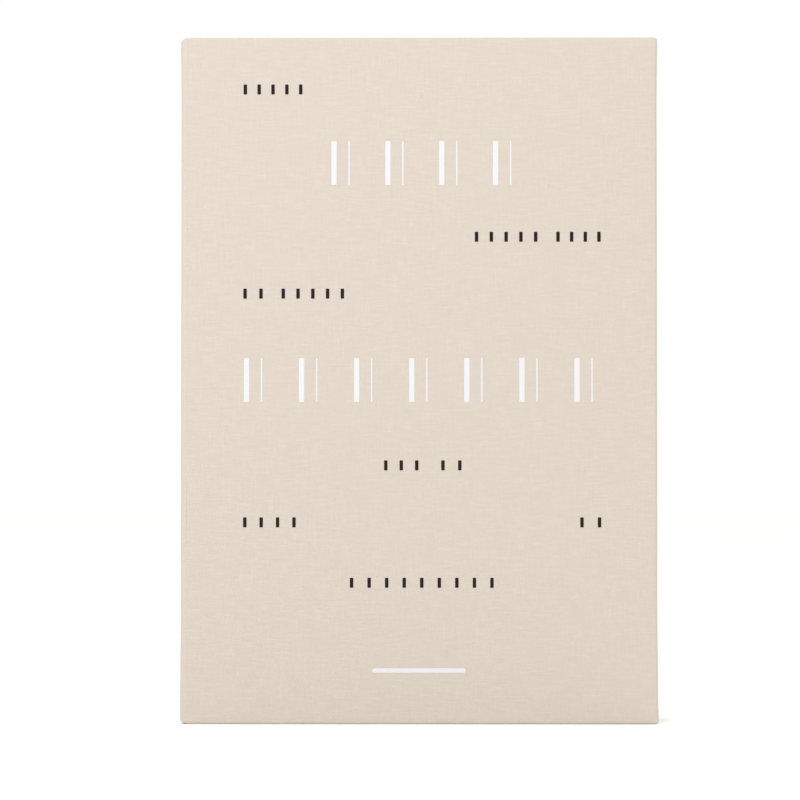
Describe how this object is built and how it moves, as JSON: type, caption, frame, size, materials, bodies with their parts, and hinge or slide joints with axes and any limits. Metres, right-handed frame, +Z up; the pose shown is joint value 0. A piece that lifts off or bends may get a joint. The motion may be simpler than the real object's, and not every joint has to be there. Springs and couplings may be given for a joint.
{
  "type": "fire blanket",
  "caption": "Folded glass-cloth fire blanket with black pull tapes, kept in a linen-covered book-style box with a hinged, magnet-closed front cover marked with plain bars.",
  "frame": {"origin": "middle of the tail edge that the box stands on, at the middle of its width and depth", "axes": "+X from the spine to the fore edge, +Y from the front cover to the back cover, +Z up from tail to head"},
  "size_m": [0.21, 0.0401, 0.302],
  "materials": {
    "linen": "matte",
    "greyboard": "matte",
    "filler_card": "matte",
    "lining_paper": "matte",
    "tray_paper": "matte",
    "stay_paper": "matte",
    "magnet": "satin",
    "glass_cloth": "matte",
    "webbing": "matte",
    "white_foil": "satin",
    "black_ink": "matte"
  },
  "bodies": {
    "case": {"hinge_cloth": "linen", "spine_cloth": "linen", "back_cover_cloth": "linen", "spine_board": "greyboard", "back_board": "greyboard", "tray_base": "greyboard", "tray_head_wall": "greyboard", "tray_tail_wall": "greyboard", "tray_spine_wall": "greyboard", "tray_fore_edge_wall": "greyboard", "tray_magnet_rail": "greyboard", "tray_inner_wall": "greyboard", "spine_filler_card": "filler_card", "back_filler_card": "filler_card", "hinge_lining": "lining_paper", "tray_wrap": "tray_paper", "tray_floor_lining": "tray_paper", "tray_corner_stays": "stay_paper", "tray_magnets": "magnet", "fire_blanket": "glass_cloth", "pull_tape_left": "webbing", "pull_tape_right": "webbing"},
    "front_cover": {"front_board": "greyboard", "front_cover_cloth": "linen", "front_filler_card": "filler_card", "front_lining": "lining_paper", "cover_magnets": "magnet", "white_foil_marks": "white_foil", "black_ink_marks": "black_ink"}
  },
  "joints": [
    {"name": "front_cover_hinge", "type": "hinge", "parent": "case", "child": "front_cover", "pos_m": [-0.1043, -0.0193, 0.151], "axis": [0, 0, -1], "range_deg": [0, 178], "deforming": ["hinge_cloth", "hinge_lining"]}
  ]
}
